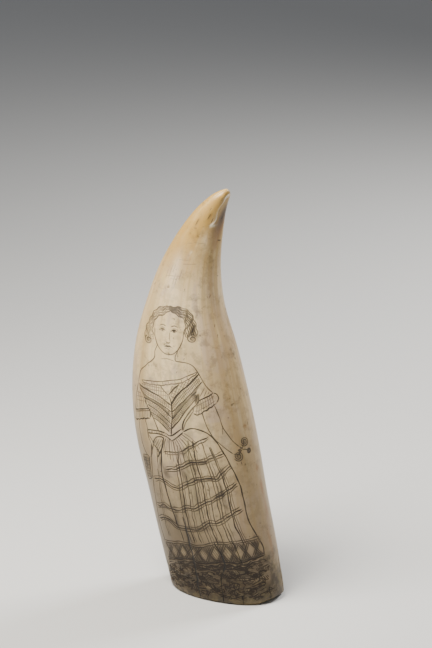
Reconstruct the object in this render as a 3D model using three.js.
// A scrimshaw whale tooth: one polished sperm whale tooth, sawn off square across the root so that it
// stands on its end, with the natural pulp cavity open in the sawn face.
//
// Millimetres, +Z up. The broad face that carries the engraving looks along -Y, and the tip bends over
// towards +X. The origin is in the sawn face, below the middle of the whole tooth.
import * as THREE from "three";

// The whole tooth.
const TOOTH_HEIGHT = 160;
const SEGMENTS = 56; // points round each section
const RING_STEP = 4; // height between two sections of the shaft

// Sections of the outside, from the sawn root to the tip: the height of each, where its middle lies along
// X, its breadth along X and its thickness along Y.
const SECTIONS = [
  { height: 0, middle: 5.0, breadth: 45.8, thickness: 28.4 },
  { height: 20, middle: 0.9, breadth: 47.5, thickness: 29.8 },
  { height: 40, middle: -3.5, breadth: 47.9, thickness: 31.0 },
  { height: 60, middle: -7.7, breadth: 49.2, thickness: 31.6 },
  { height: 80, middle: -10.7, breadth: 46.5, thickness: 30.8 },
  { height: 100, middle: -12.3, breadth: 39.3, thickness: 27.8 },
  { height: 115, middle: -12.5, breadth: 30.2, thickness: 23.6 },
  { height: 130, middle: -10.3, breadth: 23.1, thickness: 18.9 },
  { height: 145, middle: -5.2, breadth: 15.5, thickness: 13.6 },
  { height: 154, middle: -0.7, breadth: 9.8, thickness: 9.2 },
  { height: 160, middle: 4.1, breadth: 4.8, thickness: 4.8 },
];
const ROOT_SQUARENESS = 2.2; // exponent of the oval sections: 2 is a plain ellipse
const TIP_SQUARENESS = 2;

// The blunt end of the tip.
const TIP_ROUNDING = 3; // height over which the tip rounds off
const TIP_RINGS = 7;

// The flat worn on the inside of the bend, where the tooth met its socket in the upper jaw.
const WEAR_LENGTH = 34; // how far it runs down from the tip
const WEAR_SHARE = 0.13; // how much of the half section it takes away at the tip
const WEAR_TURN = THREE.MathUtils.degToRad(-18); // its heading, turned from +X towards the front

// The sawn root.
const RIM_SOFTENING = 0.8; // the worn edge round the saw cut
const SAWN_BAND = 5.5; // width of the outer band of the sawn face, in which a chip may lie
const CAVITY_BREADTH = 15;
const CAVITY_THICKNESS = 9;
const CAVITY_DEPTH = 34;
const CAVITY_RINGS = 9;
const CAVITY_MIDDLE = SECTIONS[0].middle;

// The chip broken out of the edge of the saw cut, below the tip.
const CHIP_TURN = THREE.MathUtils.degToRad(-20); // its heading, turned from +X towards the front
const CHIP_START = 18.5; // how far from the middle of the sawn face it begins
const CHIP_SLOPE = 0.55; // how steeply it rises outwards
const CHIP_HEIGHT = 8; // height above which the outside is whole again

const IVORY = { color: 0xd9c9a8, roughness: 0.38, metalness: 0 };

const outline = new THREE.CubicInterpolant(
  SECTIONS.map((s) => s.height),
  SECTIONS.flatMap((s) => [s.middle, s.breadth, s.thickness]),
  3,
);

// The tooth's section at one height, before any wear: its middle, half sizes and squareness.
function sectionAt(height) {
  const [middle, breadth, thickness] = outline.evaluate(height);
  const intoTip = Math.max(0, 1 - (TOOTH_HEIGHT - height) / TIP_ROUNDING);
  const rounding = Math.sqrt(1 - intoTip ** 2);
  return {
    middle,
    halfBreadth: (breadth / 2) * rounding,
    halfThickness: (thickness / 2) * rounding,
    squareness: THREE.MathUtils.lerp(ROOT_SQUARENESS, TIP_SQUARENESS, height / TOOTH_HEIGHT),
  };
}

// A direction in the level plane, turned from +X.
function heading(turn) {
  return new THREE.Vector3(Math.cos(turn), Math.sin(turn), 0);
}

// A cosine or sine bent towards a rounded rectangle.
function squared(wave, squareness) {
  return Math.sign(wave) * Math.abs(wave) ** (2 / squareness);
}

// One closed ring of points on an oval section, drawn in by inset on every side.
function ovalRing(section, height, inset = 0) {
  return Array.from({ length: SEGMENTS }, (_, i) => {
    const turn = (2 * Math.PI * i) / SEGMENTS;
    return new THREE.Vector3(
      section.middle + (section.halfBreadth - inset) * squared(Math.cos(turn), section.squareness),
      (section.halfThickness - inset) * squared(Math.sin(turn), section.squareness),
      height,
    );
  });
}

// The ring with the worn flat taken off it.
function wornRing(ring, middle, height) {
  const fade = Math.max(0, 1 - (TOOTH_HEIGHT - height) / WEAR_LENGTH);
  const outward = heading(WEAR_TURN);
  const centre = new THREE.Vector3(middle, 0, height);
  const distances = ring.map((p) => p.clone().sub(centre).dot(outward));
  const limit = Math.max(...distances) * (1 - WEAR_SHARE * fade);
  return ring.map((p, i) => p.clone().addScaledVector(outward, Math.min(0, limit - distances[i])));
}

// The ring with the chip in the sawn edge lifting its points.
function chippedRing(ring) {
  const centre = new THREE.Vector3(SECTIONS[0].middle, 0, 0);
  return ring.map((p) => {
    const past = Math.max(0, p.clone().setZ(0).sub(centre).dot(heading(CHIP_TURN)) - CHIP_START);
    const whole = THREE.MathUtils.clamp(p.z / CHIP_HEIGHT, 0, 1);
    return p.clone().setZ(p.z + past * CHIP_SLOPE * (1 - whole));
  });
}

// The outside, from the edge of the saw cut up to just under the top of the tip.
function outsideRings() {
  const shaftTop = TOOTH_HEIGHT - TIP_ROUNDING;
  const shaftRings = Math.round(shaftTop / RING_STEP);
  const heights = [RIM_SOFTENING];
  for (let i = 1; i <= shaftRings; i++) heights.push((shaftTop * i) / shaftRings);
  for (let i = 1; i < TIP_RINGS; i++) {
    heights.push(shaftTop + TIP_ROUNDING * Math.sin((Math.PI / 2) * (i / TIP_RINGS)));
  }
  return heights.map((height) => {
    const section = sectionAt(height);
    return chippedRing(wornRing(ovalRing(section, height), section.middle, height));
  });
}

// The sawn face, from round the cavity out to its edge.
function sawnRings() {
  const root = sectionAt(0);
  return [ovalRing(root, 0, SAWN_BAND), chippedRing(ovalRing(root, 0, RIM_SOFTENING))];
}

// The pulp cavity, from near its blind end down to its mouth in the sawn face.
function cavityRings() {
  return Array.from({ length: CAVITY_RINGS }, (_, i) => {
    const share = (i + 1) / CAVITY_RINGS; // 0 at the blind end, 1 at the mouth
    const section = {
      middle: CAVITY_MIDDLE,
      halfBreadth: (CAVITY_BREADTH / 2) * Math.sqrt(share),
      halfThickness: (CAVITY_THICKNESS / 2) * Math.sqrt(share),
      squareness: TIP_SQUARENESS,
    };
    return ovalRing(section, CAVITY_DEPTH * (1 - share));
  });
}

// One closed surface through the rings, with a single point at each end.
function closedSurface(firstPoint, rings, lastPoint) {
  const points = [firstPoint, ...rings.flat(), lastPoint];
  const at = (ring, i) => 1 + ring * SEGMENTS + (i % SEGMENTS);
  const faces = [];
  for (let i = 0; i < SEGMENTS; i++) {
    faces.push(0, at(0, i + 1), at(0, i));
    for (let ring = 0; ring + 1 < rings.length; ring++) {
      const [a, b] = [at(ring, i), at(ring, i + 1)];
      const [c, d] = [at(ring + 1, i), at(ring + 1, i + 1)];
      faces.push(a, b, d, a, d, c);
    }
    faces.push(at(rings.length - 1, i), at(rings.length - 1, i + 1), points.length - 1);
  }
  const geometry = new THREE.BufferGeometry().setFromPoints(points);
  geometry.setIndex(faces);
  return geometry;
}

// The tooth's surface in one piece: out of the cavity, across the sawn face and up to the tip.
function toothGeometry() {
  const blindEnd = new THREE.Vector3(CAVITY_MIDDLE, 0, CAVITY_DEPTH);
  const top = new THREE.Vector3(sectionAt(TOOTH_HEIGHT).middle, 0, TOOTH_HEIGHT);
  const geometry = closedSurface(blindEnd, [...cavityRings(), ...sawnRings(), ...outsideRings()], top);
  geometry.computeBoundingBox();
  const middle = geometry.boundingBox.getCenter(new THREE.Vector3());
  geometry.translate(-middle.x, -middle.y, 0);
  geometry.computeVertexNormals();
  return geometry;
}

const tooth = new THREE.Mesh(toothGeometry(), new THREE.MeshStandardMaterial(IVORY));
tooth.name = "whale_tooth";

const scrimshawTooth = new THREE.Group();
scrimshawTooth.add(tooth);

export default scrimshawTooth;
